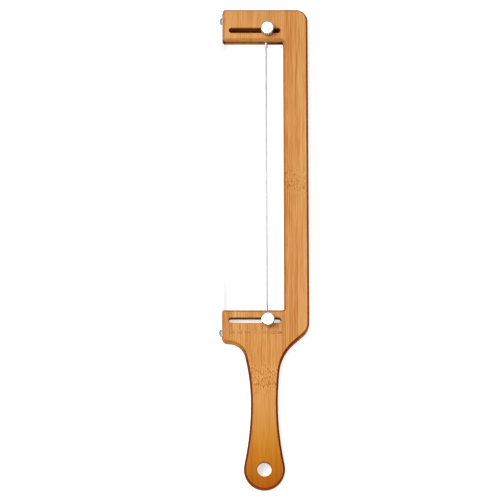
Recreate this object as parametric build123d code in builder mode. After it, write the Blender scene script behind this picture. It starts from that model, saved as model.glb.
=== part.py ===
from build123d import *
import math
import os

# Bamboo bow knife for bread, with a toothed steel blade across the bow and a guide rod
# that slides beside the blade to set the slice's thickness.
# Origin: centre of the hanging hole, at mid-thickness. +X runs from the blade to the spine,
# +Y from the handle to the tip, +Z from the flat back to the thumb nuts. Millimetres.

# Frame: one board, cut to a bow with a paddle handle
thickness = 16.0
shoulder_y = 104.3         # hanging hole to the handle arm's outer edge
bow_length = 285.7         # over both arms' outer edges
handle_arm_width = 27.0
tip_arm_width = 27.1
blade_side = 34.9          # reach of both arms from the handle's axis
spine_side = 37.45         # reach of the spine from the handle's axis
spine_width = 20.8
end_radius = 16.9          # round handle end, about the hanging hole
waist_half = 11.1          # half the handle's width at its narrowest
waist_y = 54.0
blade_flank_radius = 165.0  # handle's flank above the waist, blade side
neck_drop = 9.3            # spine-side flank's end, short of the shoulder
slope_rise = 20.0          # sloping edge, from the flank's end to the spine
edge_round = 2.0
mouth_round = 0.5          # slots' and hanging hole's edges
hang_radius = 6.0

# Corner radii of the outline
arm_corner = 2.0
inner_corner = 1.5
shoulder_corner = 4.0
shoulder_hollow = 14.0
slope_corner = 13.0
neck_hollow = 35.0
crown_corner = 10.0

# Blade: a strip on edge, screwed to the arms' ends
blade_width = 12.7
blade_thickness = 0.6
blade_overhang = 6.0       # past each screw
blade_corner = 3.0
tooth_pitch = 4.0
tooth_depth = 1.1
plain_margin = 3.0         # untoothed stretch inside each arm
screw_inset = 8.6          # blade screws, from the arms' outer edges
blade_hole_clearance = 0.2

# Blade screws: pan-head wood screws
screw_radius = 1.6
screw_length = 16.0
screw_point = 4.0
screw_head_radius = 3.0
screw_head_height = 2.2
screw_rim_height = 1.0
recess_span = 3.0
recess_width = 0.8
recess_depth = 1.2
screw_hole_clearance = 0.05

# Guide: rod, end eyelets and the slots that they travel along
slot_width = 4.4
slot_inset = 8.6           # slot's centre line, from the arm's inner edge
slot_run_out = 0.5         # slot past the last mark at each end
kerf_clearance = 0.2       # above and below the tongue
rod_radius = 0.9
tongue_thickness = 1.6
eye_clearance = 0.1        # eye in the slot, and bolt in the eye
sleeve_wall = 0.3
sleeve_length = 4.5
sleeve_gap = 0.3           # sleeve off the arm's inner edge
rod_clearance = 0.05
rod_end_gap = 0.5          # rod's end short of the sleeve's floor

# Scale: slice thicknesses marked beside the handle-side slot
thinnest_slice = 6.35
thickest_slice = 44.45
scale_marks = 7
slice_at_rest = 36.15
mark_width = 0.4
mark_length = 4.5
mark_gap = 1.2             # marks off the slot's edge
mark_depth = 0.3

# Clamps: square-head bolt from the back, washer and thumb nut on the front
bolt_radius = 1.5
head_size = 8.0
head_height = 2.0
head_corner = 1.5
channel_depth = 3.0
channel_clearance = 0.2
washer_radius = 4.5
washer_thickness = 0.8
spigot_radius = 2.2
spigot_length = 0.6
spigot_clearance = 0.08
seat_clearance = 0.05      # between faces that slide or turn on each other
hub_radius = 4.0
hub_height = 1.0
nut_radius = 5.5
nut_height = 7.1
nut_chamfer = 0.5
thread_clearance = 0.05
nut_roof = 1.8             # closed top above the thread
bolt_end_gap = 0.8         # bolt's end short of the thread's roof
knurl_count = 20
knurl_depth = 0.5

# Derived places
half = thickness / 2
tip_y = shoulder_y + bow_length
handle_arm_y = shoulder_y + handle_arm_width
tip_arm_y = tip_y - tip_arm_width
neck_y = shoulder_y - neck_drop
slope_top_y = neck_y + slope_rise
spine_inner = spine_side - spine_width
kerf_height = tongue_thickness + 2 * kerf_clearance
sleeve_radius = rod_radius + rod_clearance + sleeve_wall
eye_radius = slot_width / 2 - eye_clearance
rod_offset = eye_radius - sleeve_radius       # rod flush with the eyelet's blade side
flank_offset = rod_offset + rod_radius        # from a bolt's axis to the rod's cutting side
slice_zero_x = -blade_side + flank_offset     # bolt's place at a slice of nothing
slot_start_x = slice_zero_x + thinnest_slice - slot_run_out
slot_end_x = slice_zero_x + thickest_slice + slot_run_out
bolt_x = slice_zero_x + slice_at_rest
rod_x = bolt_x - rod_offset
tip_slot_y = tip_arm_y + slot_inset
handle_slot_y = handle_arm_y - slot_inset
tip_screw_y = tip_y - screw_inset
handle_screw_y = shoulder_y + screw_inset
blade_outer_x = -blade_side - blade_thickness
washer_z = half + seat_clearance
nut_z = washer_z + washer_thickness + seat_clearance
head_top_z = -half + channel_depth - seat_clearance
thread_roof_z = nut_z + hub_height + nut_height - nut_roof
ends = {"tip": (tip_slot_y, 1), "handle": (handle_slot_y, -1)}

os.makedirs("parts", exist_ok=True)


def save(part, name):
    part.label = name
    export_step(part, f"parts/{name}.step")


# --- Frame -------------------------------------------------------------------------------
# The spine-side flank is one arc, tangent to the round handle end and upright at the waist.
flank_radius = (waist_half**2 + waist_y**2 - end_radius**2) / (2 * (end_radius - waist_half))
tangent_share = end_radius / (end_radius + flank_radius)
tangent_x = (waist_half + flank_radius) * tangent_share
tangent_y = waist_y * tangent_share
neck_x = waist_half + flank_radius - math.sqrt(flank_radius**2 - (neck_y - waist_y) ** 2)
shoulder_rise = shoulder_y - waist_y
shoulder_x = waist_half + blade_flank_radius - math.sqrt(blade_flank_radius**2 - shoulder_rise**2)

corners = [
    ((-shoulder_x, shoulder_y), shoulder_hollow),
    ((-blade_side, shoulder_y), shoulder_corner),
    ((-blade_side, handle_arm_y), arm_corner),
    ((spine_inner, handle_arm_y), inner_corner),
    ((spine_inner, tip_arm_y), inner_corner),
    ((-blade_side, tip_arm_y), arm_corner),
    ((-blade_side, tip_y), arm_corner),
    ((spine_side, tip_y), crown_corner),
    ((spine_side, slope_top_y), slope_corner),
    ((neck_x, neck_y), neck_hollow),
]

with BuildPart() as frame:
    with BuildSketch() as outline:
        with BuildLine():
            Polyline(*[point for point, radius in corners])
            RadiusArc((neck_x, neck_y), (tangent_x, tangent_y), -flank_radius)
            ThreePointArc((tangent_x, tangent_y), (0, -end_radius), (-tangent_x, tangent_y))
            RadiusArc((-tangent_x, tangent_y), (-waist_half, waist_y), -flank_radius)
            RadiusArc((-waist_half, waist_y), (-shoulder_x, shoulder_y), -blade_flank_radius)
        make_face()
        for point, radius in corners:
            fillet(outline.vertices().sort_by_distance(point)[0], radius)
    extrude(amount=half, both=True)
    fillet(frame.faces().filter_by(Axis.Z).edges(), edge_round)

    # Hanging hole and the two slots, right through
    Hole(hang_radius)
    with BuildSketch() as slots:
        for slot_y, side in ends.values():
            with Locations(((slot_start_x + slot_end_x) / 2, slot_y)):
                SlotCenterToCenter(slot_end_x - slot_start_x, slot_width)
    extrude(amount=half, both=True, mode=Mode.SUBTRACT)

    # Wider channels in the back keep the bolts' square heads below the surface
    head_reach = head_size / 2 - head_corner * (1 - math.sqrt(0.5))
    channel_radius = head_size / 2 + channel_clearance
    channel_past = head_reach - math.sqrt(channel_radius**2 - head_reach**2) + channel_clearance
    with BuildSketch(Plane.XY.offset(-half)) as channels:
        for slot_y, side in ends.values():
            with Locations(((slot_start_x + slot_end_x) / 2, slot_y)):
                SlotCenterToCenter(slot_end_x - slot_start_x + 2 * channel_past, 2 * channel_radius)
    extrude(amount=channel_depth, mode=Mode.SUBTRACT)
    for outer_face in frame.faces().filter_by(Axis.Z).group_by(Axis.Z)[-1]:
        fillet(outer_face.inner_wires().edges(), mouth_round)
    hole_mouth = frame.faces().filter_by(Axis.Z).group_by(Axis.Z)[0].edges()
    fillet(hole_mouth.filter_by(GeomType.CIRCLE).sort_by_distance((0, 0, -half))[0], mouth_round)

    # Saw kerfs at mid-thickness, from the inner edges to the slots' centre lines
    with BuildSketch(Plane.XY.offset(-kerf_height / 2)) as kerfs:
        for slot_y, side in ends.values():
            with Locations(((spine_inner - blade_side) / 2, slot_y - side * slot_inset / 2)):
                Rectangle(spine_inner + blade_side, slot_inset)
    extrude(amount=kerf_height, mode=Mode.SUBTRACT)

    # Screw holes in the arms' ends
    for screw_y in (tip_screw_y, handle_screw_y):
        with Locations(Plane(origin=(-blade_side, screw_y, 0), z_dir=(-1, 0, 0))):
            Hole(screw_radius + screw_hole_clearance, depth=screw_length)

    # Engraved marks, one for each quarter inch of slice
    mark_step = (thickest_slice - thinnest_slice) / (scale_marks - 1)
    mark_y = handle_slot_y - slot_width / 2 - mark_gap - mark_length / 2
    with BuildSketch(Plane.XY.offset(half)) as marks:
        for mark in range(scale_marks):
            with Locations((slice_zero_x + thinnest_slice + mark * mark_step, mark_y)):
                Rectangle(mark_width, mark_length)
    extrude(amount=-mark_depth, mode=Mode.SUBTRACT)
save(frame.part, "frame")

# --- Blade -------------------------------------------------------------------------------
blade_start_y = handle_screw_y - blade_overhang
blade_end_y = tip_screw_y + blade_overhang
toothed_length = tip_arm_y - handle_arm_y - 2 * plain_margin
tooth_count = int(toothed_length / tooth_pitch)
scallop_radius = ((tooth_pitch / 2) ** 2 + tooth_depth**2) / (2 * tooth_depth)
with BuildPart() as blade:
    with BuildSketch(Plane.YZ.offset(-blade_side)) as strip:
        with Locations(((blade_start_y + blade_end_y) / 2, 0)):
            RectangleRounded(blade_end_y - blade_start_y, blade_width, blade_corner)
        with Locations((handle_screw_y, 0), (tip_screw_y, 0)):
            Circle(screw_radius + blade_hole_clearance, mode=Mode.SUBTRACT)
        with Locations(((handle_arm_y + tip_arm_y) / 2, -blade_width / 2 + tooth_depth - scallop_radius)):
            with GridLocations(tooth_pitch, 0, tooth_count, 1):
                Circle(scallop_radius, mode=Mode.SUBTRACT)
    extrude(amount=-blade_thickness)
save(blade.part, "blade")

# --- Blade screws ------------------------------------------------------------------------
dome_rise = screw_head_height - screw_rim_height
dome_radius = (screw_head_radius**2 + dome_rise**2) / (2 * dome_rise)
for name, screw_y in (("tip_blade_screw", tip_screw_y), ("handle_blade_screw", handle_screw_y)):
    with BuildPart() as screw:
        with BuildSketch(Plane((blade_outer_x, screw_y, 0))) as half_section:
            with BuildLine():
                rim = (-screw_rim_height, screw_head_radius)
                crown = (-screw_head_height, 0)
                Polyline(crown, (screw_length, 0), (screw_length - screw_point, screw_radius),
                         (0, screw_radius), (0, screw_head_radius), rim)
                RadiusArc(rim, crown, -dome_radius)
            make_face()
        revolve(axis=Axis((0, screw_y, 0), (1, 0, 0)))
        crown_plane = Plane(origin=(blade_outer_x - screw_head_height, screw_y, 0), z_dir=(-1, 0, 0))
        with BuildSketch(crown_plane) as recess:
            Rectangle(recess_span, recess_width)
            Rectangle(recess_width, recess_span)
        extrude(amount=-recess_depth, mode=Mode.SUBTRACT)
    save(screw.part, name)

# --- Guide rod and its end eyelets ---------------------------------------------------------
sleeve_root = sleeve_gap + rod_end_gap        # from an arm's inner edge to the rod's end
with BuildPart() as guide_rod:
    with BuildSketch(Plane(origin=(rod_x, handle_arm_y + sleeve_root, 0), z_dir=(0, 1, 0))) as rod_end:
        Circle(rod_radius)
    extrude(amount=tip_arm_y - handle_arm_y - 2 * sleeve_root)
save(guide_rod.part, "guide_rod")

for end, (slot_y, side) in ends.items():
    sleeve_y = slot_y - side * (slot_inset + sleeve_gap)
    with BuildPart() as eyelet:
        with BuildSketch(Plane.XY.offset(-tongue_thickness / 2)) as tongue:
            with Locations((bolt_x, slot_y)):
                Circle(eye_radius)
            with Locations((bolt_x, (slot_y + sleeve_y) / 2)):
                Rectangle(2 * eye_radius, slot_inset + sleeve_gap)
            with Locations((bolt_x, slot_y)):
                Circle(bolt_radius + eye_clearance, mode=Mode.SUBTRACT)
        extrude(amount=tongue_thickness)
        with BuildSketch(Plane(origin=(rod_x, sleeve_y, 0), z_dir=(0, -side, 0))) as sleeve:
            Circle(sleeve_radius)
        extrude(amount=sleeve_length)
        with BuildSketch(Plane(origin=(rod_x, sleeve_y - side * rod_end_gap, 0), z_dir=(0, -side, 0))) as bore:
            Circle(rod_radius + rod_clearance)
        extrude(amount=sleeve_length, mode=Mode.SUBTRACT)
    save(eyelet.part, f"{end}_guide_eyelet")

# --- Clamps --------------------------------------------------------------------------------
for end, (slot_y, side) in ends.items():
    with BuildPart() as bolt:
        with BuildSketch(Plane((bolt_x, slot_y, head_top_z))) as head:
            RectangleRounded(head_size, head_size, head_corner)
        extrude(amount=-head_height)
        with BuildSketch(Plane((bolt_x, slot_y, head_top_z))) as shank:
            Circle(bolt_radius)
        extrude(amount=thread_roof_z - bolt_end_gap - head_top_z)
    save(bolt.part, f"{end}_clamp_bolt")

    with BuildPart() as washer:
        with BuildSketch(Plane((bolt_x, slot_y, washer_z))) as ring:
            Circle(washer_radius)
            Circle(spigot_radius + spigot_clearance, mode=Mode.SUBTRACT)
        extrude(amount=washer_thickness)
    save(washer.part, f"{end}_clamp_washer")

    with BuildPart() as nut:
        with BuildSketch(Plane((bolt_x, slot_y, nut_z + hub_height))) as knurled_head:
            Circle(nut_radius)
        extrude(amount=nut_height)
        chamfer(nut.edges().filter_by(GeomType.CIRCLE), nut_chamfer)
        with BuildSketch(Plane((bolt_x, slot_y, nut_z + hub_height))) as knurl:
            with PolarLocations(nut_radius, knurl_count):
                Rectangle(knurl_depth * math.sqrt(2), knurl_depth * math.sqrt(2), rotation=45)
        extrude(amount=nut_height, mode=Mode.SUBTRACT)
        with BuildSketch(Plane((bolt_x, slot_y, nut_z))) as hub:
            Circle(hub_radius)
        extrude(amount=hub_height)
        with BuildSketch(Plane((bolt_x, slot_y, nut_z))) as spigot:
            Circle(spigot_radius)
        extrude(amount=-spigot_length)
        with BuildSketch(Plane((bolt_x, slot_y, nut_z - spigot_length))) as thread:
            Circle(bolt_radius + thread_clearance)
        extrude(amount=thread_roof_z - nut_z + spigot_length, mode=Mode.SUBTRACT)
    save(nut.part, f"{end}_thumb_nut")
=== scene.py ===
import math

import bmesh
import bpy
from bpy.props import FloatProperty, FloatVectorProperty, IntProperty, PointerProperty
from bpy.types import Operator, Panel, PropertyGroup
from mathutils import Matrix, Vector


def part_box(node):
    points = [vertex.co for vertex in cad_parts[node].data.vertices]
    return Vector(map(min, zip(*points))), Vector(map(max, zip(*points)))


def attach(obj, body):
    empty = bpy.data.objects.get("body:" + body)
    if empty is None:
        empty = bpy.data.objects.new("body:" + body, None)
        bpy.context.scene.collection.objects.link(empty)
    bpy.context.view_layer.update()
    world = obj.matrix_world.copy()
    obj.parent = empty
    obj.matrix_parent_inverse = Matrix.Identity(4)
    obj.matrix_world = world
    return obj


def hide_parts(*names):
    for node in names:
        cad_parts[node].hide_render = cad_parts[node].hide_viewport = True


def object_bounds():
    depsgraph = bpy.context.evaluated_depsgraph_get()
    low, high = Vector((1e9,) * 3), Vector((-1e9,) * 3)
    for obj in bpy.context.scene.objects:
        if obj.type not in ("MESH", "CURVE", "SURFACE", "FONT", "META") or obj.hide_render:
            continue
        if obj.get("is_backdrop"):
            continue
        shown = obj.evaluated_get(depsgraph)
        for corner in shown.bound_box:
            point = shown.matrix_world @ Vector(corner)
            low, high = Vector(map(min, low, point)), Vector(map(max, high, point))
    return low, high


bl_info = {
    "name": "Bow Bread Knife",
    "version": (1, 0, 0),
    "blender": (4, 5, 0),
    "location": "View3D > Sidebar > Bow Knife",
    "description": "Finishes a bamboo bow bread knife: board, blade, slice guide and clamps",
    "category": "Object",
}

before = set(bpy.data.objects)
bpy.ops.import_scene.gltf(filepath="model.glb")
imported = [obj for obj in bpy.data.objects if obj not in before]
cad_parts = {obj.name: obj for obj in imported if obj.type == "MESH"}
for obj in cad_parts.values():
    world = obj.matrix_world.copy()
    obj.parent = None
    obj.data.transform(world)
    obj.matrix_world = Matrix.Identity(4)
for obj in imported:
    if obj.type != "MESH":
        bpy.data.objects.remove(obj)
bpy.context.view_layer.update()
MM = 0.001
ENDS = ("tip", "handle")


# --- Settings ---
def length(name, description, default):
    """A size in metres."""
    return FloatProperty(name=name, description=description, default=default,
                         subtype="DISTANCE", unit="LENGTH", precision=5)


def tone(name, description, default):
    """A linear colour."""
    return FloatVectorProperty(name=name, description=description, default=default,
                               size=3, min=0.0, max=1.0, subtype="COLOR")


def share(name, description, default):
    """A number from 0 to 1."""
    return FloatProperty(name=name, description=description, default=default,
                         min=0.0, max=1.0, subtype="FACTOR")


class BambooSettings(PropertyGroup):
    pale: tone("Pale wood", "Colour of the palest fibres", (0.545, 0.283, 0.108))
    deep: tone("Deep wood", "Colour of the wood in the middle of its range", (0.445, 0.200, 0.058))
    fibre: tone("Fibre", "Colour of the darkest fibre bundles", (0.27, 0.070, 0.004))
    # Painted shade: amber deepens the wood towards the handle's end, where it catches less sheen
    amber: tone("Amber varnish", "Tint of the varnish where it is thickest", (0.64, 0.36, 0.008))
    # Painted shade: edge is the tint of the painted shade on the rounded edges and on the arms' inner faces
    edge: tone("Edge stain", "Tint of the stain on the handle's rounded edges", (0.24, 0.080, 0.012))
    scorch: tone("Scorched mark", "Colour of the scale's burnt marks", (0.060, 0.022, 0.008))
    strip: length("Strip width", "Width of one bamboo strip", 12.6 * MM)
    seam: length("Glue line place", "Distance of one glue line from the handle's axis", 15.5 * MM)
    ply: length("Ply thickness", "Thickness of each of the board's three plies", 5.34 * MM)
    knuckle: length("First knuckle", "Distance of the first knuckle from the hanging hole", 75.0 * MM)
    knuckle_pitch: length("Knuckle pitch", "Distance between the strips' knuckles", 165.0 * MM)
    seed: IntProperty(name="Seed", description="Chooses the strips' tones and fibres", default=3107)
    roughness: share("Varnish roughness", "Roughness of the clear varnish", 0.36)


class ScaleSettings(PropertyGroup):
    digit_height: length("Digit height", "Height of the scale's figures", 2.7 * MM)
    digit_depth: length("Digit depth", "Depth of the scale's figures in the board", 0.25 * MM)
    digit_gap: length("Digit gap", "Distance from a mark to its figures", 0.6 * MM)
    mark_pitch: length("Mark pitch", "Distance between the marks", 6.35 * MM)
    mark_end: length("Mark end", "Distance of the marks' far ends from the slot's centre line", 7.9 * MM)


class BladeSettings(PropertyGroup):
    tooth_pitch: length("Tooth pitch", "Distance between the teeth's points", 4.0 * MM)
    tooth_count: IntProperty(name="Teeth", description="Number of scallops", default=56, min=1)
    tooth_depth: length("Tooth depth", "Depth of each scallop", 1.1 * MM)
    corner: length("Corner radius", "Radius of the blade's corners", 3.0 * MM)
    hole: length("Hole radius", "Radius of the screw holes", 1.8 * MM)
    land: length("Point bevel", "Width of the ground bevel at a tooth's point", 0.7 * MM)
    steel: tone("Blade steel", "Colour of the ground steel", (0.40, 0.41, 0.42))


class ScrewSettings(PropertyGroup):
    head_radius: length("Head radius", "Radius of the screw's pan head", 3.0 * MM)
    rim: length("Rim height", "Height of the head's upright rim", 1.0 * MM)
    shank: length("Shank radius", "Radius over the thread", 1.6 * MM)
    point: length("Point length", "Length of the tapered point", 4.0 * MM)
    pitch: length("Thread pitch", "Pitch of the wood screw's thread", 1.3 * MM)
    steel: tone("Screw steel", "Colour of the screws", (0.24, 0.23, 0.22))


class GuideSettings(PropertyGroup):
    tongue: length("Tongue thickness", "Thickness of the eyelet's flat tongue", 1.6 * MM)
    eye_hole: length("Eye hole radius", "Radius of the hole that the bolt passes", 1.6 * MM)
    sleeve: length("Sleeve radius", "Outer radius of the crimped sleeve", 1.25 * MM)
    sleeve_bore: length("Sleeve bore", "Inner radius of the crimped sleeve", 0.95 * MM)
    sleeve_length: length("Sleeve length", "Length of the crimped sleeve", 4.5 * MM)
    crimp: length("Crimp depth", "Depth of the two dents in the sleeve", 0.16 * MM)
    steel: tone("Rod steel", "Colour of the drawn rod", (0.47, 0.46, 0.47))
    fitting: tone("Fitting steel", "Colour of the eyelets, bolts and washers", (0.52, 0.51, 0.50))


class ClampSettings(PropertyGroup):
    bolt: length("Bolt radius", "Radius over the bolt's thread", 1.5 * MM)
    bolt_pitch: length("Bolt pitch", "Pitch of the bolt's thread", 0.5 * MM)
    head_height: length("Bolt head", "Height of the square head", 2.0 * MM)
    head_corner: length("Head corner", "Radius of the square head's corners", 1.5 * MM)
    washer_hole: length("Washer hole", "Radius of the washer's hole", 2.28 * MM)
    spigot: length("Spigot radius", "Radius of the nut's spigot in the washer", 2.2 * MM)
    spigot_length: length("Spigot length", "Length of the nut's spigot", 0.6 * MM)
    hub: length("Hub radius", "Radius of the nut's hub", 4.0 * MM)
    hub_height: length("Hub height", "Height of the nut's hub", 1.0 * MM)
    chamfer: length("Nut chamfer", "Chamfer of the knurled head", 0.5 * MM)
    roof: length("Nut roof", "Thickness of the closed top over the thread", 1.8 * MM)
    ribs: IntProperty(name="Knurl ribs", description="Ribs around the nut", default=20, min=3)
    rib_depth: length("Knurl depth", "Depth of the grooves between the ribs", 0.5 * MM)
    plating: tone("Nut plating", "Colour of the nickel plating", (0.86, 0.85, 0.83))


class StageSettings(PropertyGroup):
    floor: tone("Floor", "Colour of the paper under the knife", (0.66, 0.66, 0.66))
    # Painted shade: the paper's brown below the tip's slot, for shade and the wood's bounced light
    shade: tone("Shade", "Colour of the paper in the shade below the tip's slot", (0.55, 0.24, 0.08))
    shade_shift: length("Shade shift", "Distance of the shade from the bow's middle", 12.0 * MM)
    floor_size: length("Floor size", "Width of the paper", 12.0)
    glow: share("Floor glow", "Strength of the light that comes through the paper", 0.60)
    lens: FloatProperty(name="Lens", description="Focal length in millimetres", default=136.8)
    tilt: FloatProperty(name="Camera tilt", description="Lean of the view from straight down",
                        default=math.radians(10.0), subtype="ANGLE", unit="ROTATION")
    distance: length("Camera distance", "Distance of the camera from what it looks at", 1.5833)
    aim_x: length("Aim X", "Place that the camera looks at, across the knife", -18.0 * MM)
    aim_y: length("Aim Y", "Place that the camera looks at, along the knife", 181.7 * MM)
    key: FloatProperty(name="Key light", description="Power of the side light in watts", default=50.0)
    fill: FloatProperty(name="Fill light", description="Power of the low light in watts", default=18.0)
    top: FloatProperty(name="Top light", description="Power of the overhead light in watts", default=12.0)
    sky: FloatProperty(name="Room light", description="Strength of the room's even light", default=0.30)


class KnifeSettings(PropertyGroup):
    bamboo: PointerProperty(type=BambooSettings)
    scale: PointerProperty(type=ScaleSettings)
    blade: PointerProperty(type=BladeSettings)
    screw: PointerProperty(type=ScrewSettings)
    guide: PointerProperty(type=GuideSettings)
    clamp: PointerProperty(type=ClampSettings)
    stage: PointerProperty(type=StageSettings)


# --- Node trees ---
def node(tree, kind, inputs=None, output=0, **settings):
    """Adds a node, sets or links its inputs, and returns one of its outputs."""
    made = tree.nodes.new(kind)
    for name, value in settings.items():
        setattr(made, name, value)
    for name, value in (inputs or {}).items():
        if isinstance(value, bpy.types.NodeSocket):
            tree.links.new(value, made.inputs[name])
        else:
            made.inputs[name].default_value = value
    return made.outputs[output] if len(made.outputs) else None


def maths(tree, operation, *values):
    return node(tree, "ShaderNodeMath", dict(enumerate(values)), operation=operation)


def times(tree, first, *others):
    """The product of two or more values."""
    for other in others:
        first = maths(tree, "MULTIPLY", first, other)
    return first


def times_plus(tree, value, factor, addend):
    return maths(tree, "MULTIPLY_ADD", value, factor, addend)


def minus(tree, first, second):
    return maths(tree, "SUBTRACT", first, second)


def size_of(tree, value):
    return maths(tree, "ABSOLUTE", value)


def vector_maths(tree, operation, *values, output=0):
    return node(tree, "ShaderNodeVectorMath", dict(enumerate(values)), output, operation=operation)


def vector(tree, x, y, z):
    return node(tree, "ShaderNodeCombineXYZ", {0: x, 1: y, 2: z})


def split(tree, source):
    """A vector's X, Y and Z."""
    made = tree.nodes.new("ShaderNodeSeparateXYZ")
    tree.links.new(source, made.inputs[0])
    return made.outputs


def stretched(tree, place, x, y, z):
    """Place, with each coordinate multiplied."""
    return vector_maths(tree, "MULTIPLY", place, (x, y, z))


def ramp(tree, value, low, high, start=0.0, end=1.0):
    """Eases from start to end as value goes from low to high."""
    inputs = {"Value": value, "From Min": low, "From Max": high, "To Min": start, "To Max": end}
    return node(tree, "ShaderNodeMapRange", inputs, interpolation_type="SMOOTHSTEP")


def mix(tree, factor, first, second, blend="MIX"):
    """Mixes two colours."""
    rgb = [v if isinstance(v, bpy.types.NodeSocket) else (*v, 1.0)[:4] for v in (first, second)]
    return node(tree, "ShaderNodeMix", {0: factor, 6: rgb[0], 7: rgb[1]}, 2,
                data_type="RGBA", blend_type=blend)


def blend_of(tree, value, *stops):
    """A colour ramp through (place, colour) stops."""
    made = tree.nodes.new("ShaderNodeValToRGB")
    marks = made.color_ramp.elements
    for _ in stops[2:]:
        marks.new(0.5)
    for mark, (place, colour) in zip(marks, stops):
        mark.position = place
        mark.color = (*colour, 1.0)
    tree.links.new(value, made.inputs[0])
    return made.outputs[0]


def tinted(tree, colour, tint, depth):
    """Colour multiplied by tint raised to the given depth, so that at a depth of 1 it is multiplied by tint;
    the wood's painted shade is laid on with it.
    """
    through = node(tree, "ShaderNodeGamma", {0: (*tint, 1.0), 1: depth})
    return mix(tree, 1.0, colour, through, "MULTIPLY")


def noise(tree, place, scale=1.0, detail=2.0, roughness=0.5):
    inputs = {"Vector": place, "Scale": scale, "Detail": detail, "Roughness": roughness}
    return node(tree, "ShaderNodeTexNoise", inputs)


def new_material(name):
    """An empty material's tree, and its Object coordinates in millimetres."""
    material = bpy.data.materials.new(name)
    material.use_nodes = True
    tree = material.node_tree
    tree.nodes.clear()
    place = node(tree, "ShaderNodeTexCoord", output=3)
    place = node(tree, "ShaderNodeVectorMath", {0: place, 3: 1 / MM}, operation="SCALE")
    return material, tree, place


def facing_shares(tree):
    """How far a surface faces along X, Y and Z, each from 0 to 1."""
    normal = node(tree, "ShaderNodeTexCoord", output=1)
    return [size_of(tree, share_along) for share_along in split(tree, normal)]


def finish_material(tree, colour, roughness, bump=None, bump_strength=0.1, bump_distance=0.1, **fixed):
    """Ends a material's tree in one Principled shader. fixed holds its constant inputs."""
    inputs = {"Base Color": colour, "Roughness": roughness}
    inputs.update({name.replace("_", " "): value for name, value in fixed.items()})
    if bump is not None:
        inputs["Normal"] = node(tree, "ShaderNodeBump", {
            "Strength": bump_strength, "Distance": bump_distance * MM, "Height": bump})
    surface = node(tree, "ShaderNodeBsdfPrincipled", inputs)
    node(tree, "ShaderNodeOutputMaterial", {"Surface": surface})


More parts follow.
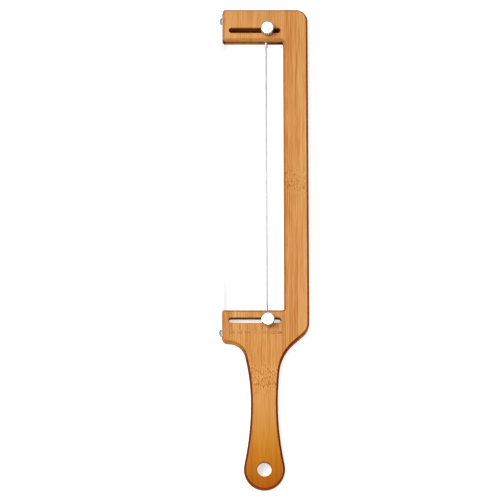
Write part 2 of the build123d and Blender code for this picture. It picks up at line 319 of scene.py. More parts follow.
# --- Materials: their places and sizes are in millimetres ---
def bamboo_material(s, window_low, window_high):
    """Varnished bamboo: strips side by side in three plies, fibres and knuckles, with painted shade on the
    rounded edges and the arms' inner faces and towards the handle's end.

    The window is the gap between the arms, from window_low to window_high along the board."""
    material, tree, place = new_material("varnished_bamboo")
    x, y, z = split(tree, place)
    _, facing_along, upright = facing_shares(tree)

    # Plies 0, 1 and 2 from the back, a little enlarged so that the board's faces fall inside them
    enlarged = 0.98
    ply = times_plus(tree, maths(tree, "DIVIDE", z, s.ply / MM), enlarged, 1.5)
    ply = maths(tree, "FLOOR", ply)

    # One number for each strip of each ply, and the distance to the nearest glue line
    ply_shift, ply_numbers = 5.3, 17.0
    seam_place = times_plus(tree, ply, ply_shift, s.seam / MM - 2 * ply_shift)
    across = maths(tree, "DIVIDE", minus(tree, x, seam_place), s.strip / MM)
    strip = times_plus(tree, ply, ply_numbers, maths(tree, "FLOOR", across))
    strip = maths(tree, "ADD", strip, s.seed)
    chance, chances = (node(tree, "ShaderNodeTexWhiteNoise", {"W": strip}, i, noise_dimensions="1D")
                       for i in range(2))
    seam = ramp(tree, maths(tree, "PINGPONG", across, 0.5), 0.0, 0.022, 1.0, 0.0)

    # Each strip's fibres are noise from a place of its own, drawn out along the board
    grain = vector_maths(tree, "ADD", place, stretched(tree, chances, 40.0, 300.0, 25.0))

    def fibres(fineness, fineness_along, detail=1.0, roughness=0.5):
        drawn_out = stretched(tree, grain, fineness, fineness_along, fineness)
        return noise(tree, drawn_out, detail=detail, roughness=roughness)

    # Knuckles: every strip has one at about the same place along the board, with a ring beside it
    waver, scatter, ring_place = 10.0, 5.0, 5.0
    half_pitch = s.knuckle_pitch / MM / 2
    along = times_plus(tree, fibres(0.25, 0.04), waver, minus(tree, y, s.knuckle / MM + waver / 2))
    along = times_plus(tree, chance, scatter, minus(tree, along, scatter / 2))
    along = maths(tree, "WRAP", along, half_pitch, -half_pitch)
    knuckle = ramp(tree, size_of(tree, along), 5.0, 16.0, 1.0, 0.0)
    from_ring = size_of(tree, maths(tree, "ADD", along, ring_place))
    ring = ramp(tree, from_ring, 0.2, 1.4, 1.0, 0.0)

    # Shade: broad and fine streaks, tapering spindles, and tangles at the knuckles
    fine = fibres(5.0, 0.090, 3.0, 0.65)
    tangle = fibres(1.60, 0.50)
    busy = ramp(tree, fibres(0.05, 0.009), 0.38, 0.62, 0.6, 1.0)
    between_knuckles = minus(tree, 1.0, knuckle)
    calm = ramp(tree, y, 92.0, 55.0, 0.82, 0.55)
    bolder_on_handle = ramp(tree, y, 100.0, 140.0, 1.8, 1.3)
    weights = ((fibres(0.20, 0.004, 2.0), times(tree, calm, 0.75)),
               (fibres(1.90, 0.011, 2.0), times(tree, calm, 1.2)),
               (fine, times(tree, calm, 0.62)),
               (fibres(2.20, 0.050), times(tree, busy, between_knuckles, calm, 1.2)),
               (tangle, times(tree, knuckle, bolder_on_handle)))
    shade = times_plus(tree, chance, 0.30, 0.35)
    for layer, weight in weights:
        shade = times_plus(tree, minus(tree, layer, 0.5), weight, shade)
    line_depth = 0.16
    for line in (times(tree, ring, knuckle), seam):
        shade = times_plus(tree, line, -line_depth, shade)
    colour = blend_of(tree, shade, (0.08, s.fibre), (0.48, s.deep), (0.92, s.pale))

    # Painted shade: a deeper, more saturated amber towards the handle's end stands in for the sheen that the
    # rest of the board catches from the light and the handle's end lacks; thick is only the share of the way
    # towards the end, and the neck is tinted a little too
    amber_start, amber_full = 60.0, -14.0
    thick = node(tree, "ShaderNodeMapRange", {"Value": y, "From Min": amber_start, "From Max": amber_full})
    neck_tint = ramp(tree, y, 130.0, 95.0, 0.0, 0.045)
    colour = tinted(tree, colour, s.amber, maths(tree, "ADD", maths(tree, "POWER", thick, 2.0), neck_tint))

    # Painted shade where the board rounds off, for edges turned away from the light: deepest on the handle,
    # less at its very end and on upright walls, strong on the spine's right edge, which faces away from the
    # light, none round the hanging hole
    rounded = ramp(tree, upright, 0.9995, 0.98)
    wall = ramp(tree, upright, 0.40, 0.15)
    shoulder = maths(tree, "ADD", y, ramp(tree, x, 0.0, -20.0, 0.0, 20.0))
    edge_shade_depth = ramp(tree, shoulder, 130.0, 100.0, 0.16, 1.0)
    edge_shade_depth = maths(tree, "MAXIMUM", edge_shade_depth, ramp(tree, x, 34.0, 36.0, 0.0, 0.65))
    from_hole = vector_maths(tree, "LENGTH", vector(tree, x, y, 0.0), output=1)
    painted_shade = times(tree, rounded, edge_shade_depth, ramp(tree, y, -16.0, 12.0, 0.5, 1.0),
                  ramp(tree, from_hole, 8.3, 9.3, 0.1, 1.0), minus(tree, 1.0, times(tree, wall, 0.55)))
    colour = tinted(tree, colour, s.edge, painted_shade)

    # Painted shade on the arms' inner faces, named burnt here: darker along the kerf's lips and at the face's
    # foot, and a painted shadow of the guide rod on the face to its right
    middle, reach = (window_low + window_high) / 2 / MM, (window_high - window_low) / 2 / MM
    from_middle = size_of(tree, minus(tree, y, middle))
    inner_face = times(tree, ramp(tree, facing_along, 0.5, 0.8), ramp(tree, from_middle, reach, reach - 1.0))
    kerf_lip_shade = ramp(tree, size_of(tree, z), 2.8, 1.6, 0.0, 2.3)
    foot = ramp(tree, z, -5.0, -6.2, 0.0, 0.6)
    rod_shadow = times(tree, ramp(tree, x, 3.6, 4.6), ramp(tree, z, 3.0, 0.5, 0.0, 1.3))
    burnt = maths(tree, "MAXIMUM", maths(tree, "MAXIMUM", kerf_lip_shade, foot), rod_shadow)
    colour = tinted(tree, colour, s.edge, times(tree, inner_face, burnt))

    wall_roughness = 0.95
    relief = times_plus(tree, fine, 0.5, times(tree, tangle, knuckle))
    gloss = times_plus(tree, shade, -0.08, s.roughness + 0.04)
    gloss = node(tree, "ShaderNodeMix", {0: wall, 2: gloss, 3: wall_roughness}, data_type="FLOAT")
    finish_material(tree, colour, gloss, relief, 0.25, 0.03, Specular_IOR_Level=0.05)
    return material


def scorch_material(s):
    """Wood burnt by the marking iron: nearly black in places, brown in others, faint by the blade."""
    material, tree, place = new_material("scorched_mark")
    char = noise(tree, place, scale=3.0, detail=3.0)
    brown = [channel * 2.6 for channel in s.scorch]
    colour = mix(tree, ramp(tree, char, 0.35, 0.70), s.scorch, brown)
    faint = ramp(tree, split(tree, place)[0], 4.0, 12.0, 0.55, 0.0)
    colour = mix(tree, faint, colour, s.deep)
    finish_material(tree, colour, ramp(tree, char, 0.2, 0.8, 0.55, 0.85), char, 0.5, 0.05)
    return material


def metal_material(name, colour, along, rough):
    """Worked steel: fine lines along one axis, faint cloudy wear and a few brighter scuffs."""
    material, tree, place = new_material(name)
    across, lengthwise = 14.0, 0.25
    line_strength, cloud_strength, scuff_strength = 0.10, 0.12, 0.06
    factors = [lengthwise if axis == along else across for axis in "xyz"]
    line = noise(tree, stretched(tree, place, *factors), detail=3.0, roughness=0.7)
    cloud = noise(tree, place, scale=0.22, detail=3.0, roughness=0.6)
    scuff = ramp(tree, noise(tree, stretched(tree, place, 1.3, 0.5, 1.3), detail=4.0), 0.62, 0.74)
    dull = [channel * 0.80 for channel in colour]
    shade = mix(tree, ramp(tree, cloud, 0.35, 0.75, 0.0, cloud_strength * 4), colour, dull)
    shade = mix(tree, ramp(tree, line, 0.35, 0.75, 0.0, line_strength * 3), shade, dull)
    gloss = rough
    for layer, strength in ((line, line_strength), (cloud, cloud_strength), (scuff, scuff_strength)):
        gloss = times_plus(tree, layer, strength, gloss)
    finish_material(tree, shade, gloss, line, 0.12, 0.02, Metallic=1.0)
    return material


def turned_material(name, colour, axis, rough, crest):
    """Turned and plated metal: rings about an upright axis, and painted shade with a painted reflection of
    the brown wood on chamfers and between ribs.

    crest is the radius over the ribs."""
    material, tree, place = new_material(name)
    crest /= MM
    centred = vector_maths(tree, "ADD", place, (-axis.x / MM, -axis.y / MM, 0.0))
    radius = vector_maths(tree, "LENGTH", stretched(tree, centred, 1.0, 1.0, 0.0), output=1)
    rings = noise(tree, vector(tree, times(tree, radius, 9.0), 0.0, 0.0), detail=3.0)
    cloud = noise(tree, centred, scale=0.35, detail=3.0)
    dull = [channel * 0.86 for channel in colour]
    # Painted shade and painted reflection: a dark wood brown laid in the grooves between the ribs and on the
    # chamfers
    painted_wood_reflection = (0.22, 0.08, 0.02)
    shade = mix(tree, ramp(tree, cloud, 0.40, 0.75, 0.0, 0.5), colour, dull)
    upright = facing_shares(tree)[2]
    groove = times(tree, ramp(tree, upright, 0.55, 0.25), ramp(tree, radius, crest, crest - 0.35))
    chamfer = times(tree, ramp(tree, upright, 0.98, 0.92), ramp(tree, upright, 0.25, 0.45),
                    ramp(tree, radius, crest - 0.9, crest - 0.7, 0.0, 0.8))
    for painted_part in (groove, chamfer):
        shade = mix(tree, painted_part, shade, painted_wood_reflection)
    gloss = times_plus(tree, groove, 0.35, times_plus(tree, rings, 0.08, rough))
    finish_material(tree, shade, gloss, rings, 0.10, 0.02, Metallic=1.0)
    return material


def paper_material(s, middle):
    """White paper on a light table, with a barely visible tooth, and a painted shade below the tip's slot,
    where the glow is taken away and the paper is a brown that stands in for the wood's bounced light.
    """
    material, tree, place = new_material("white_paper")
    tooth = noise(tree, place, scale=0.02, detail=4.0)
    grey = [channel * 0.985 for channel in s.floor]
    x, y, _ = split(tree, place)
    # Painted shade: a patch below the tip's slot, without glow and in the shade colour
    half_length, half_width = 26.0, 7.0
    beside = size_of(tree, minus(tree, x, middle.x / MM))
    ahead = size_of(tree, minus(tree, y, middle.y / MM))
    shade = times(tree, ramp(tree, beside, half_length, half_length - 2.0),
                  ramp(tree, ahead, half_width, half_width - 1.0))
    colour = mix(tree, shade, mix(tree, tooth, s.floor, grey), s.shade)
    glow = times_plus(tree, shade, -s.glow, s.glow)
    finish_material(tree, colour, 0.9, Specular_IOR_Level=0.1, Emission_Color=(1.0, 1.0, 1.0, 1.0),
                    Emission_Strength=glow)
    return material


# --- Meshes ---
def link(name, data):
    made = bpy.data.objects.new(name, data)
    bpy.context.scene.collection.objects.link(made)
    return made


def link_bmesh(name, mesh):
    """A mesh object from a bmesh, which is freed."""
    data = bpy.data.meshes.new(name)
    mesh.to_mesh(data)
    mesh.free()
    return link(name, data)


def plain_mesh(source, name):
    """The evaluated source as a plain mesh object; the source is removed."""
    bpy.context.view_layer.update()
    graph = bpy.context.evaluated_depsgraph_get()
    mesh = bpy.data.meshes.new_from_object(source.evaluated_get(graph), depsgraph=graph)
    bpy.data.objects.remove(source)
    mesh.name = name
    return link(name, mesh)


def clean(made, outward=True, smooth_angle=30.0):
    """Merges doubles, turns faces outward, and shades smooth except over sharp edges."""
    mesh = bmesh.new()
    mesh.from_mesh(made.data)
    bmesh.ops.remove_doubles(mesh, verts=mesh.verts, dist=0.001 * MM)
    bmesh.ops.dissolve_degenerate(mesh, edges=mesh.edges, dist=0.0005 * MM)
    if outward:
        bmesh.ops.recalc_face_normals(mesh, faces=mesh.faces)
    mesh.to_mesh(made.data)
    mesh.free()
    made.data.polygons.foreach_set("use_smooth", [True] * len(made.data.polygons))
    made.data.set_sharp_from_angle(angle=math.radians(smooth_angle))
    return made


def place_mesh(made, matrix):
    """Moves a piece's mesh, and keeps its faces outward when it is mirrored."""
    made.data.transform(matrix)
    if matrix.determinant() < 0:
        made.data.flip_normals()
    return made


def shift(x=0.0, y=0.0, z=0.0):
    return Matrix.Translation((x, y, z))


def turn(degrees, axis):
    return Matrix.Rotation(math.radians(degrees), 4, axis)


def cut(made, cutter):
    """Takes the cutter's shape out of a piece; the cut faces keep the cutter's material."""
    tool = made.modifiers.new("cut", "BOOLEAN")
    tool.operation = "DIFFERENCE"
    tool.solver = "EXACT"
    tool.material_mode = "TRANSFER"
    tool.object = cutter
    made = plain_mesh(made, made.name)
    bpy.data.objects.remove(cutter)
    return made


def joined(name, material, *parts):
    """One clean mesh object from one or more parts, all in one material."""
    mesh = bmesh.new()
    for part in parts:
        mesh.from_mesh(part.data)
        bpy.data.objects.remove(part)
    for face in mesh.faces:
        face.material_index = 0
    made = link_bmesh(name, mesh)
    made.data.materials.append(material)
    return clean(made)


def skin(name, rings, smooth_angle=30.0):
    """A closed skin over rings of points, each ring with as many points as the next."""
    mesh = bmesh.new()
    rows = [[mesh.verts.new(point) for point in ring] for ring in rings]
    for first, second in zip(rows, rows[1:]):
        for i in range(len(first)):
            k = (i + 1) % len(first)
            mesh.faces.new((first[i], first[k], second[k], second[i]))
    mesh.faces.new(rows[0])
    mesh.faces.new(rows[-1])
    return clean(link_bmesh(name, mesh), smooth_angle=smooth_angle)


def flat_piece(name, outline, holes, thickness, bevel):
    """A plate about z = 0 with rounded edges, from a closed outline and holes in metres."""
    curve = bpy.data.curves.new(name, "CURVE")
    curve.dimensions = "2D"
    curve.fill_mode = "BOTH"
    for points in (outline, *holes):
        spline = curve.splines.new("POLY")
        spline.points.add(len(points) - 1)
        for point, (x, y) in zip(spline.points, points):
            point.co = (x, y, 0.0, 1.0)
        spline.use_cyclic_u = True
    curve.extrude = thickness / 2 - bevel
    curve.bevel_depth = bevel
    curve.bevel_resolution = 2
    curve.offset = -bevel
    return clean(plain_mesh(link(name, curve), name))


def arc(centre, radius, start, end, steps):
    """Points on an arc, angles in degrees."""
    angles = [math.radians(start + (end - start) * i / steps) for i in range(steps + 1)]
    return [(centre[0] + radius * math.cos(a), centre[1] + radius * math.sin(a)) for a in angles]


# --- Geometry Nodes ---
def geometry_tree(name, sockets):
    """A new tree with a geometry input and output and the named inputs."""
    tree = bpy.data.node_groups.new(name, "GeometryNodeTree")
    tree.interface.new_socket(name="Geometry", in_out="INPUT", socket_type="NodeSocketGeometry")
    for label, kind in sockets.items():
        tree.interface.new_socket(name=label, in_out="INPUT", socket_type=kind)
    tree.interface.new_socket(name="Geometry", in_out="OUTPUT", socket_type="NodeSocketGeometry")
    return tree, tree.nodes.new("NodeGroupInput").outputs


def end_tree(tree, geometry, material):
    """Ends a tree in Realize Instances and Set Material."""
    geometry = node(tree, "GeometryNodeRealizeInstances", {0: geometry})
    geometry = node(tree, "GeometryNodeSetMaterial", {"Geometry": geometry, "Material": material})
    node(tree, "NodeGroupOutput", {0: geometry})
    return tree


def turning_tree(name):
    """Turns a profile about the Z axis. The profile is a row of points, X the radius and Z the height.
    Beyond the rib radius the surface is cut into upright ribs."""
    tree, given = geometry_tree(name, {
        "Segments": "NodeSocketInt", "Ribs": "NodeSocketInt", "Rib Depth": "NodeSocketFloat",
        "Rib Radius": "NodeSocketFloat", "Material": "NodeSocketMaterial"})
    profile = given["Geometry"]
    points = node(tree, "GeometryNodeAttributeDomainSize", {0: profile}, component="MESH")
    columns = maths(tree, "ADD", given["Segments"], 1.0)
    grid = node(tree, "GeometryNodeMeshGrid", {"Vertices X": columns, "Vertices Y": points})
    index = node(tree, "GeometryNodeInputIndex")
    column = maths(tree, "FLOOR", maths(tree, "DIVIDE", maths(tree, "ADD", index, 0.5), points))
    row = maths(tree, "FLOOR", minus(tree, index, times(tree, column, points)))
    position = node(tree, "GeometryNodeInputPosition")
    on_profile = node(tree, "GeometryNodeSampleIndex", {0: profile, 1: position, 2: row},
                      data_type="FLOAT_VECTOR")
    radius, _, height = split(tree, on_profile)
    angle = maths(tree, "DIVIDE", times(tree, column, math.tau), given["Segments"])
    wave = maths(tree, "COSINE", times(tree, angle, given["Ribs"]))
    groove_narrowness = 1.3
    groove = maths(tree, "POWER", times_plus(tree, wave, 0.5, 0.5), groove_narrowness)
    proud = maths(tree, "GREATER_THAN", radius, given["Rib Radius"])
    radius = minus(tree, radius, times(tree, groove, proud, given["Rib Depth"]))
    place = vector(tree, times(tree, radius, maths(tree, "COSINE", angle)),
                   times(tree, radius, maths(tree, "SINE", angle)), height)
    surface = node(tree, "GeometryNodeSetPosition", {"Geometry": grid, "Position": place})
    surface = node(tree, "GeometryNodeMergeByDistance", {"Geometry": surface, "Distance": 0.002 * MM})
    return end_tree(tree, surface, given["Material"])


def thread_tree(name):
    """A screw thread: a sharp-edged wire wound up the Z axis."""
    tree, given = geometry_tree(name, {
        "Turns": "NodeSocketFloat", "Radius": "NodeSocketFloat", "End Radius": "NodeSocketFloat",
        "Height": "NodeSocketFloat", "Ridge": "NodeSocketFloat", "Material": "NodeSocketMaterial"})
    helix = node(tree, "GeometryNodeCurveSpiral", {
        "Resolution": 24, "Rotations": given["Turns"], "Start Radius": given["Radius"],
        "End Radius": given["End Radius"], "Height": given["Height"]})
    ridge = node(tree, "GeometryNodeCurvePrimitiveCircle", {"Resolution": 4, "Radius": given["Ridge"]})
    wound = node(tree, "GeometryNodeCurveToMesh", {"Curve": helix, "Profile Curve": ridge, "Fill Caps": True})
    return end_tree(tree, wound, given["Material"])


TREES = {"turned_piece": turning_tree, "screw_thread": thread_tree}


def grow(name, points, tree_name, values):
    """Runs one of the trees, made when first needed, on a row of points, as a clean mesh object."""
    mesh = bpy.data.meshes.new(name + "_points")
    mesh.from_pydata(points, [], [])
    source = link(name + "_points", mesh)
    tree = bpy.data.node_groups.get(tree_name) or TREES[tree_name](tree_name)
    modifier = source.modifiers.new(tree.name, "NODES")
    modifier.node_group = tree
    for item in tree.interface.items_tree:
        if item.in_out == "INPUT" and item.name in values:
            modifier[item.identifier] = values[item.name]
    return clean(plain_mesh(source, name))


def turned(name, profile, material, segments=48, ribs=0, rib_depth=0.0, rib_radius=1.0):
    """A turned piece about the Z axis from (radius, height) points in metres."""
    points = [(radius, 0.0, height) for radius, height in profile]
    return grow(name, points, "turned_piece", {
        "Segments": segments, "Ribs": ribs, "Rib Depth": rib_depth, "Rib Radius": rib_radius,
        "Material": material})


def thread(name, radius, end_radius, low, high, pitch, ridge, material):
    """A thread ridge from height low to height high."""
    made = grow(name, [], "screw_thread", {
        "Turns": (high - low) / pitch, "Radius": radius - ridge, "End Radius": end_radius - ridge,
        "Height": high - low, "Ridge": ridge, "Material": material})
    return place_mesh(made, shift(z=low))


# --- Pieces ---
def keep(made, body, slot, *nodes):
    """Hands a finished piece to its body and hides the CAD nodes that it stands for; slot, the name of its
    finish, is not used.
    """
    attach(made, body)
    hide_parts(*nodes)


def clamp_axis(end):
    """Where a clamp's bolt stands, at mid-thickness."""
    low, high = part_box(f"{end}_clamp_bolt")
    return Vector(((low.x + high.x) / 2, (low.y + high.y) / 2, 0.0))


def scale_figures(s, material):
    """The slice thicknesses in inches, as cutters that stand in the board's face."""
    font_size, letter_spacing, share_of_pitch = 1.35, 0.92, 0.86
    handle = clamp_axis("handle")
    blade_to_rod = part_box("guide_rod")[0].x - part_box("blade")[1].x
    first_x = handle.x - blade_to_rod + s.mark_pitch
    top_y = handle.y - s.mark_end - s.digit_gap
    face_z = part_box("frame")[1].z
    figures = []
    for i, text in enumerate(("1/4", "1/2", "3/4", "1", "1 1/4", "1 1/2", "1 3/4")):
        curve = bpy.data.curves.new(f"figure_{i}", "FONT")
        curve.body = text
        curve.size = s.digit_height * font_size
        curve.align_x = "CENTER"
        curve.align_y = "TOP"
        curve.space_character = letter_spacing
        curve.extrude = s.digit_depth
        figure = plain_mesh(link(f"figure_{i}", curve), f"figure_{i}")
        narrow = min(1.0, share_of_pitch * s.mark_pitch / figure.dimensions.x)
        place = shift(first_x + i * s.mark_pitch, top_y, face_z)
        figures.append(place_mesh(figure, place @ Matrix.Diagonal((narrow, 1.0, 1.0, 1.0))))
    return joined("scale_figures", material, *figures)


def level_normals(made):
    """Shades the board's two broad faces exactly flat, up to the line where they round off."""
    mesh = made.data
    low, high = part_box("frame")
    normals = [corner.vector.copy() for corner in mesh.corner_normals]
    for face in mesh.polygons:
        level, up = (high.z, 1.0) if face.normal.z > 0 else (low.z, -1.0)
        if face.normal.z * up > 0.5:
            for corner in face.loop_indices:
                if abs(mesh.vertices[mesh.loops[corner].vertex_index].co.z - level) < 0.002 * MM:
                    normals[corner] = Vector((0.0, 0.0, up))
    mesh.normals_split_custom_set(normals)
    return made


def scorch_marks(made, index):
    """Gives the faces of the engraved marks the material of that index."""
    past_last_mark, mark_foot, mark_end = 14.0 * MM, 2.6 * MM, 10.0 * MM
    deepest, shallowest = 0.4 * MM, 0.05 * MM
    handle, top = clamp_axis("handle"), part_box("frame")[1].z
    low = Vector((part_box("blade")[1].x, handle.y - mark_end, top - deepest))
    high = Vector((handle.x + past_last_mark, handle.y - mark_foot, top - shallowest))
    for face in made.data.polygons:
        if all(low[i] < face.center[i] < high[i] for i in range(3)):
            face.material_index = index


def make_blade(s):
    """The blade: a flat strip whose scalloped teeth are ground from the outer side."""
    low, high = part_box("blade")
    middle = (low.y + high.y) / 2
    toothed = s.tooth_count * s.tooth_pitch / 2
    scallop = ((s.tooth_pitch / 2) ** 2 + s.tooth_depth ** 2) / (2 * s.tooth_depth)
    thick = high.x - low.x
    ease, edge_ease, fade = 0.08 * MM, 0.02 * MM, 1.5 * MM
    steps_a_tooth = 10

    def tooth(y):
        """Depth of the scalloped edge and share of the bevel at a place along the blade."""
        past_teeth = abs(y - middle) - toothed
        if past_teeth >= 0:
            return 0.0, max(0.0, 1.0 - past_teeth / fade)
        off = past_teeth % s.tooth_pitch - s.tooth_pitch / 2
        drop = math.sqrt(scallop ** 2 - off ** 2) - (scallop - s.tooth_depth)
        return max(0.0, drop), 1.0

    def corner(y):
        """How far the blade's rounded corner takes the edges in."""
        away = min(y - low.y, high.y - y)
        if away >= s.corner:
            return 0.0
        return s.corner - math.sqrt(max(0.0, s.corner ** 2 - (s.corner - away) ** 2))

    end = [low.y + s.corner * (1 - math.cos(math.radians(a))) for a in range(0, 90, 9)]
    end += [low.y + s.corner, middle - toothed - fade - 0.1 * MM, middle - toothed - fade]
    steps = s.tooth_count * steps_a_tooth
    teeth = [middle - toothed + 2 * toothed * i / steps for i in range(steps + 1)]
    rings = []
    for y in (*end, *teeth, *(2 * middle - y for y in reversed(end))):
        drop, ground = tooth(y)
        inset = corner(y)
        back = high.z - inset
        edge = low.z + drop + inset
        bevel = edge + ease + ground * (s.land + 0.75 * drop)
        tip = low.x + ease + ground * (thick - 3 * ease)
        foot = high.x - ground * edge_ease - (1 - ground) * ease
        section = ((low.x + ease, back), (low.x, back - ease), (low.x, bevel), (tip, edge),
                   (foot, edge), (high.x, edge + ease), (high.x, back - ease), (high.x - ease, back))
        rings.append([(x, y, z) for x, z in section])
    return skin("serrated_blade", rings, smooth_angle=20.0)


def cross_recess(height):
    """The cutter for a cross recess in a screw's crown, which lies at -height."""
    span, width = 3.0 * MM, 0.8 * MM
    arm = [Vector(corner) / 2 for corner in ((span, -width, 0.0), (span, width, 0.0), (width, width, 0.0))]
    cross = [turn(90 * quarter, "Z") @ corner for quarter in range(4) for corner in arm]
    depths = ((-0.3 * MM, 1.0), (0.25 * MM, 0.96), (1.2 * MM, 0.45))
    return skin("recess", [[(p.x * narrow, p.y * narrow, z - height) for p in cross] for z, narrow in depths])


def make_screw(name, s, height, depth, material):
    """A pan-head wood screw about Z, head down: its crown at -height and its point at depth."""
    rise = height - s.rim
    dome = (s.head_radius ** 2 + rise ** 2) / (2 * rise)
    half_angle = math.asin(s.head_radius / dome)
    angles = [half_angle * i / 8 for i in range(8)]
    crown = [(dome * math.sin(a), dome - height - dome * math.cos(a)) for a in angles]
    ease = 0.12 * MM
    root, run_out = s.shank * 0.68, depth - s.point
    profile = crown + [(s.head_radius - ease, -s.rim - ease * 0.3), (s.head_radius, -s.rim + ease),
                       (s.head_radius, -ease), (s.head_radius - ease, 0.0), (s.shank, 0.0),
                       (s.shank, 1.8 * MM), (root, 2.3 * MM), (root, run_out), (0.0, depth)]
    recess = cross_recess(height)
    recess.data.materials.append(material)
    head = clean(cut(turned(name, profile, material, segments=64), recess))
    winding = thread("winding", s.shank, s.shank, 2.6 * MM, run_out, s.pitch, 0.34 * MM, material)
    point = thread("point", s.shank, 0.45 * MM, run_out, depth - 0.4 * MM, s.pitch, 0.30 * MM, material)
    return joined(name, material, head, winding, point)


def make_eyelet(s, end, side, rod_x, material):
    """A flat tongue with an eye, and a sleeve dented onto the rod. side is 1 at the tip, else -1."""
    low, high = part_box(f"{end}_guide_eyelet")
    axis = clamp_axis(end)
    eye = (high.x - low.x) / 2
    near = low.y if side > 0 else high.y
    reach = abs(axis.y - near) - s.sleeve_length
    shoulder = -0.45 * reach
    neck, sleeve_x = s.sleeve - 0.1 * MM, rod_x - axis.x
    outline = arc((0.0, 0.0), eye, 0.0, 180.0, 32)
    outline += [(-eye, shoulder), (sleeve_x - neck, -reach), (sleeve_x + neck, -reach), (eye, shoulder)]
    hole = arc((0.0, 0.0), s.eye_hole, 0.0, 360.0, 48)[:-1]
    tongue = flat_piece("tongue", outline, [hole], s.tongue, 0.12 * MM)
    place_mesh(tongue, shift(axis.x, axis.y) @ Matrix.Diagonal((1.0, side, 1.0, 1.0)))

    ease, steps = 0.08 * MM, 16
    blind_end = s.sleeve_length - 0.5 * MM
    wall = [(s.sleeve, ease + (s.sleeve_length - 2 * ease) * i / steps) for i in range(steps + 1)]
    profile = [(s.sleeve_bore + ease, 0.0), (s.sleeve - ease, 0.0), *wall,
               (s.sleeve - ease, s.sleeve_length), (0.0, s.sleeve_length), (0.0, blind_end),
               (s.sleeve_bore, blind_end), (s.sleeve_bore, ease)]
    sleeve = turned("sleeve", profile, material)
    dent_length, dent_span, dent_places = 0.45 * MM, 0.45, (0.32, 0.64)
    for vertex in sleeve.data.vertices:
        point = vertex.co
        if math.hypot(point.x, point.y) <= s.sleeve - 0.02 * MM:
            continue
        for dent_place in dent_places:
            along = (point.z - dent_place * s.sleeve_length) / dent_length
            around = max(0.0, abs(point.y) / s.sleeve - (1.0 - dent_span)) / dent_span
            dented = 1.0 - s.crimp * math.exp(-along ** 2) * around / s.sleeve
            point.x *= dented
            point.y *= dented
    place_mesh(sleeve, shift(rod_x, near) @ turn(-90 * side, "X"))
    return joined(f"{end}_crimped_eyelet", material, tongue, sleeve)


def make_bolt(s, end, material):
    """A square-head bolt with its head at the back."""
    low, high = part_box(f"{end}_clamp_bolt")
    axis = clamp_axis(end)
    middle = (high.x - low.x) / 2 - s.head_corner
    square = []
    for quarter, (x, y) in enumerate(((1, 1), (-1, 1), (-1, -1), (1, -1))):
        square += arc((x * middle, y * middle), s.head_corner, 90 * quarter, 90 * quarter + 90, 8)
    head = flat_piece("head", square, [], s.head_height, 0.2 * MM)
    place_mesh(head, shift(axis.x, axis.y, low.z + s.head_height / 2))
    ridge, bevel = 0.23 * MM, 0.35 * MM
    root = s.bolt - ridge
    start, top = low.z + s.head_height * 0.75, high.z
    neck = low.z + s.head_height + 0.6 * MM
    profile = [(0.0, start), (s.bolt, start), (s.bolt, neck), (root, neck + 0.2 * MM),
               (root, top - 0.4 * MM), (root - bevel, top), (0.0, top)]
    shank = turned("shank", profile, material)
    first, last = neck + 0.3 * MM, top - 0.5 * MM
    winding = thread("winding", s.bolt, s.bolt, first, last, s.bolt_pitch, ridge, material)
    for part in (shank, winding):
        place_mesh(part, Matrix.Translation(axis))
    return joined(f"{end}_square_bolt", material, head, shank, winding)


def make_washer(s, end, material):
    """A flat washer with eased edges."""
    low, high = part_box(f"{end}_clamp_washer")
    ease = 0.15 * MM
    inner, outer = s.washer_hole, (high.x - low.x) / 2
    profile = [(inner + ease, low.z), (outer - ease, low.z), (outer, low.z + ease), (outer, high.z - ease),
               (outer - ease, high.z), (inner + ease, high.z), (inner, high.z - ease), (inner, low.z + ease),
               (inner + ease, low.z)]
    washer = joined(f"{end}_flat_washer", material, turned("washer", profile, material, segments=96))
    return place_mesh(washer, Matrix.Translation(clamp_axis(end)))


def make_nut(s, end):
    """A knurled head on a hub, its thread blind and its top faced flat."""
    low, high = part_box(f"{end}_thumb_nut")
    axis = clamp_axis(end)
    outer = (high.x - low.x) / 2
    nickel = turned_material(f"{end}_nut_nickel", s.plating, axis, 0.12, outer)
    seat = low.z + s.spigot_length
    head, roof, top = seat + s.hub_height, high.z - s.roof, high.z
    bore, ease, rounding, step = s.bolt + 0.05 * MM, 0.12 * MM, 0.04 * MM, 0.1 * MM
    face = outer - s.chamfer
    profile = [(0.0, roof + 0.5 * MM), (bore, roof), (bore, low.z + 2 * step), (bore + 2 * step, low.z),
               (s.spigot - step, low.z), (s.spigot, low.z + step), (s.spigot, seat),
               (s.hub - ease, seat), (s.hub, seat + ease), (s.hub, head),
               (face, head), (outer - rounding, head + s.chamfer),
               (outer, head + s.chamfer + step), (outer, top - s.chamfer - step),
               (outer - rounding, top - s.chamfer), (face, top - step / 2),
               (face - step, top), (face - 4 * step, top), (0.0, top)]
    nut = turned("nut", profile, nickel, s.ribs * 12, s.ribs, s.rib_depth, outer - 0.2 * MM)
    return place_mesh(joined(f"{end}_knurled_nut", nickel, nut), Matrix.Translation(axis))


# --- Operators ---
class KNIFE_OT_board(Operator):
    """Copy the board, burn the scale into it and varnish it"""
    bl_idname = "knife.board"
    bl_label = "Bamboo Board"

    def execute(self, context):
        s = context.scene.bow_knife
        past_slot = 4.0 * MM
        window = clamp_axis("handle").y + past_slot, clamp_axis("tip").y - past_slot
        wood, scorched = bamboo_material(s.bamboo, *window), scorch_material(s.bamboo)
        board = link("bamboo_bow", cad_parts["frame"].data.copy())
        board.data.materials.clear()
        board.data.materials.append(wood)
        clean(board, outward=False)
        board = cut(board, scale_figures(s.scale, scorched))
        clean(board, outward=False)
        scorch_marks(board, list(board.data.materials).index(scorched))
        weights = board.modifiers.new("weights", "WEIGHTED_NORMAL")
        weights.keep_sharp = True
        weights.weight = 100
        board = level_normals(plain_mesh(board, "bamboo_bow"))
        keep(board, "frame", "bamboo", "frame")
        return {"FINISHED"}


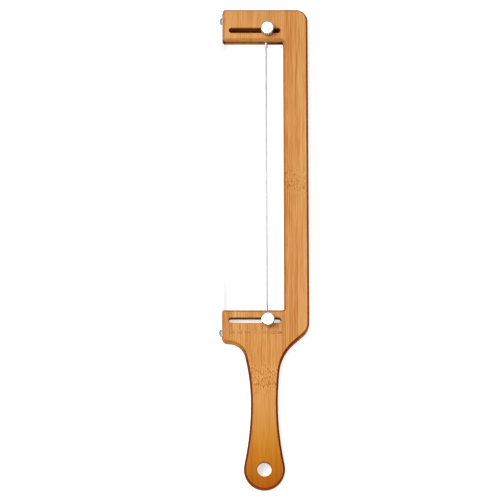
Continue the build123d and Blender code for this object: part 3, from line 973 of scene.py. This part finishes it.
class KNIFE_OT_blade(Operator):
    """Make the toothed blade"""
    bl_idname = "knife.blade"
    bl_label = "Serrated Blade"

    def execute(self, context):
        s = context.scene.bow_knife.blade
        steel = metal_material("ground_blade_steel", s.steel, "y", 0.22)
        blade = make_blade(s)
        blade.data.materials.append(steel)
        before, length_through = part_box("blade")[0].x - 1.0 * MM, 3.0 * MM
        for end in ENDS:
            low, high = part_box(f"{end}_blade_screw")
            profile = [(0.0, 0.0), (s.hole, 0.0), (s.hole, length_through), (0.0, length_through)]
            drill = turned("drill", profile, steel)
            place_mesh(drill, shift(before, (low.y + high.y) / 2) @ turn(90, "Y"))
            blade = cut(blade, drill)
        clean(blade, smooth_angle=20.0)
        keep(blade, "frame", "blade_steel", "blade")
        return {"FINISHED"}


class KNIFE_OT_screws(Operator):
    """Make the two wood screws that hold the blade"""
    bl_idname = "knife.screws"
    bl_label = "Blade Screws"

    def execute(self, context):
        s = context.scene.bow_knife.screw
        steel = metal_material("bright_screw_steel", s.steel, "x", 0.24)
        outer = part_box("blade")[0].x
        for end, clocked in (("tip", 24), ("handle", 67)):
            low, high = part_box(f"{end}_blade_screw")
            screw = make_screw(f"{end}_blade_screw_piece", s, outer - low.x, high.x - outer, steel)
            place_mesh(screw, shift(outer, (low.y + high.y) / 2) @ turn(90, "Y") @ turn(clocked, "Z"))
            keep(screw, "frame", "screw_steel", f"{end}_blade_screw")
        return {"FINISHED"}


class KNIFE_OT_guide(Operator):
    """Make the guide rod and the eyelets crimped on its ends"""
    bl_idname = "knife.guide"
    bl_label = "Slice Guide"

    def execute(self, context):
        s = context.scene.bow_knife.guide
        drawn = metal_material("drawn_rod_steel", s.steel, "y", 0.42)
        plated = metal_material("plated_fitting_steel", s.fitting, "y", 0.26)
        low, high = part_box("guide_rod")
        middle, radius, ease = (low.x + high.x) / 2, (high.x - low.x) / 2, 0.15 * MM
        long, steps = high.y - low.y, 12
        wall = [(radius, ease + (long - 2 * ease) * i / steps) for i in range(steps + 1)]
        profile = [(0.0, 0.0), (radius - ease, 0.0), *wall, (radius - ease, long), (0.0, long)]
        rod = joined("drawn_guide_rod", drawn, turned("rod", profile, drawn))
        place_mesh(rod, shift(middle, low.y) @ turn(-90, "X"))
        keep(rod, "guide", "rod_steel", "guide_rod")
        for end, side in zip(ENDS, (1, -1)):
            eyelet = make_eyelet(s, end, side, middle, plated)
            keep(eyelet, "guide", "fitting_steel", f"{end}_guide_eyelet")
        return {"FINISHED"}


class KNIFE_OT_clamps(Operator):
    """Make the bolts, washers and knurled thumb nuts"""
    bl_idname = "knife.clamps"
    bl_label = "Thumb Nut Clamps"

    def execute(self, context):
        settings = context.scene.bow_knife
        s = settings.clamp
        plated = metal_material("plated_bolt_steel", settings.guide.fitting, "x", 0.28)
        for end in ENDS:
            keep(make_bolt(s, end, plated), "guide", "fitting_steel", f"{end}_clamp_bolt")
            keep(make_washer(s, end, plated), f"{end}_washer", "fitting_steel", f"{end}_clamp_washer")
            keep(make_nut(s, end), f"{end}_nut", "nut_plating", f"{end}_thumb_nut")
        return {"FINISHED"}


class KNIFE_OT_stage(Operator):
    """Lay the paper, set the lights and place the camera"""
    bl_idname = "knife.stage"
    bl_label = "Stage"

    def execute(self, context):
        s = context.scene.bow_knife.stage
        scene = context.scene
        scene.view_settings.view_transform = "Standard"
        low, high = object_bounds()
        centre = (low + high) / 2
        self.paper(s, centre, low.z - 0.05 * MM)

        world = bpy.data.worlds.new("pale_room")
        world.use_nodes = True
        background = world.node_tree.nodes["Background"]
        background.inputs["Color"].default_value = (1.0, 1.0, 1.0, 1.0)
        background.inputs["Strength"].default_value = s.sky
        scene.world = world

        for name, away, width, depth, power in (
                ("key_light", (-0.95, 0.25, 2.0), 0.8, 1.2, s.key),
                ("fill_light", (0.15, -1.70, 0.85), 1.0, 0.8, s.fill),
                ("top_light", (0.10, 0.55, 2.15), 1.6, 1.6, s.top)):
            self.area(name, centre + Vector(away), centre, width, depth, power)

        camera = link("camera", bpy.data.cameras.new("camera"))
        camera.data.lens = s.lens
        camera.data.clip_start = 0.05
        camera.rotation_euler = (s.tilt, 0.0, 0.0)
        back = Vector((0.0, -math.sin(s.tilt), math.cos(s.tilt)))
        camera.location = Vector((s.aim_x, s.aim_y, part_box("frame")[1].z)) + back * s.distance
        scene.camera = camera
        return {"FINISHED"}

    def paper(self, s, centre, level):
        half = s.floor_size / 2
        corners = [(-half, -half), (half, -half), (half, half), (-half, half)]
        mesh = bpy.data.meshes.new("paper_floor")
        mesh.from_pydata([(centre.x + x, centre.y + y, level) for x, y in corners], [], [(0, 1, 2, 3)])
        floor = link("paper_floor", mesh)
        bow_middle = (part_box("blade")[1].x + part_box("frame")[1].x) / 2
        shaded = Vector((bow_middle - s.shade_shift, clamp_axis("tip").y, 0.0))
        floor.data.materials.append(paper_material(s, shaded))
        floor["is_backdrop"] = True

    def area(self, name, place, aim, width, depth, power):
        light = bpy.data.lights.new(name, "AREA")
        light.shape = "RECTANGLE"
        light.size = width
        light.size_y = depth
        light.energy = power
        made = link(name, light)
        made.location = place
        made.rotation_euler = (aim - place).to_track_quat("-Z", "Y").to_euler()
        made.visible_camera = False


class KNIFE_PT_sidebar(Panel):
    """Steps that finish the knife, in order"""
    bl_idname = "KNIFE_PT_sidebar"
    bl_label = "Bow Bread Knife"
    bl_space_type = "VIEW_3D"
    bl_region_type = "UI"
    bl_category = "Bow Knife"

    def draw(self, context):
        for step in STEPS:
            self.layout.operator(step.bl_idname)


STEPS = (KNIFE_OT_board, KNIFE_OT_blade, KNIFE_OT_screws, KNIFE_OT_guide, KNIFE_OT_clamps, KNIFE_OT_stage)
SETTINGS = (BambooSettings, ScaleSettings, BladeSettings, ScrewSettings, GuideSettings, ClampSettings,
            StageSettings, KnifeSettings)


def register():
    for made in (*SETTINGS, *STEPS, KNIFE_PT_sidebar):
        bpy.utils.register_class(made)
    bpy.types.Scene.bow_knife = PointerProperty(type=KnifeSettings)


def unregister():
    del bpy.types.Scene.bow_knife
    for made in reversed((*SETTINGS, *STEPS, KNIFE_PT_sidebar)):
        bpy.utils.unregister_class(made)


def main():
    register()
    for step in STEPS:
        group, name = step.bl_idname.split(".")
        getattr(getattr(bpy.ops, group), name)()


if __name__ == "__main__":
    main()
